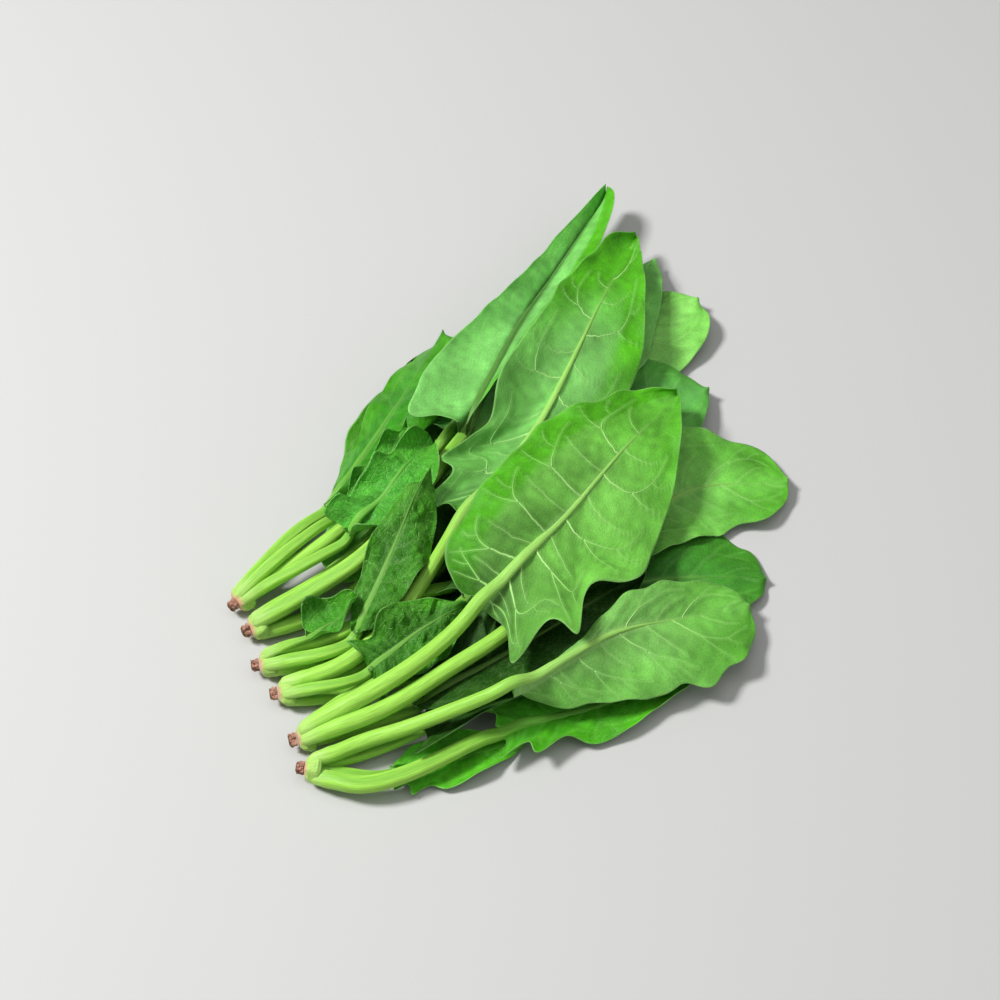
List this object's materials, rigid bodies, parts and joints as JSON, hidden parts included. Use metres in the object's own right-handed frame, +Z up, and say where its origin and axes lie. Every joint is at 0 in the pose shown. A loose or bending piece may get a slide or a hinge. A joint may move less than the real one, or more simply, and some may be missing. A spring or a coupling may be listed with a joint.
{
  "type": "spinach bunch",
  "caption": "Loose fanned bunch of fresh spinach lying on its side: stalks gathered at pink cut roots, broad ribbed green blades overlapping towards the other end",
  "frame": {"origin": "centre of the bunch's box on the table it lies on", "axes": "+X from the roots towards the leaf tips, +Y to the left of it, +Z up"},
  "size_m": [0.2946, 0.2264, 0.0445],
  "materials": {
    "leaf": null,
    "root": "fibrous cut root, dull pinkish tan"
  },
  "bodies": {
    "root": {"plant_1_leaves": "leaf", "plant_2_leaves": "leaf", "plant_3_leaves": "leaf", "plant_4_leaves": "leaf", "plant_5_leaves": "leaf", "plant_6_leaves": "leaf", "plant_1_root": "root", "plant_2_root": "root", "plant_3_root": "root", "plant_4_root": "root", "plant_5_root": "root", "plant_6_root": "root"}
  },
  "joints": []
}
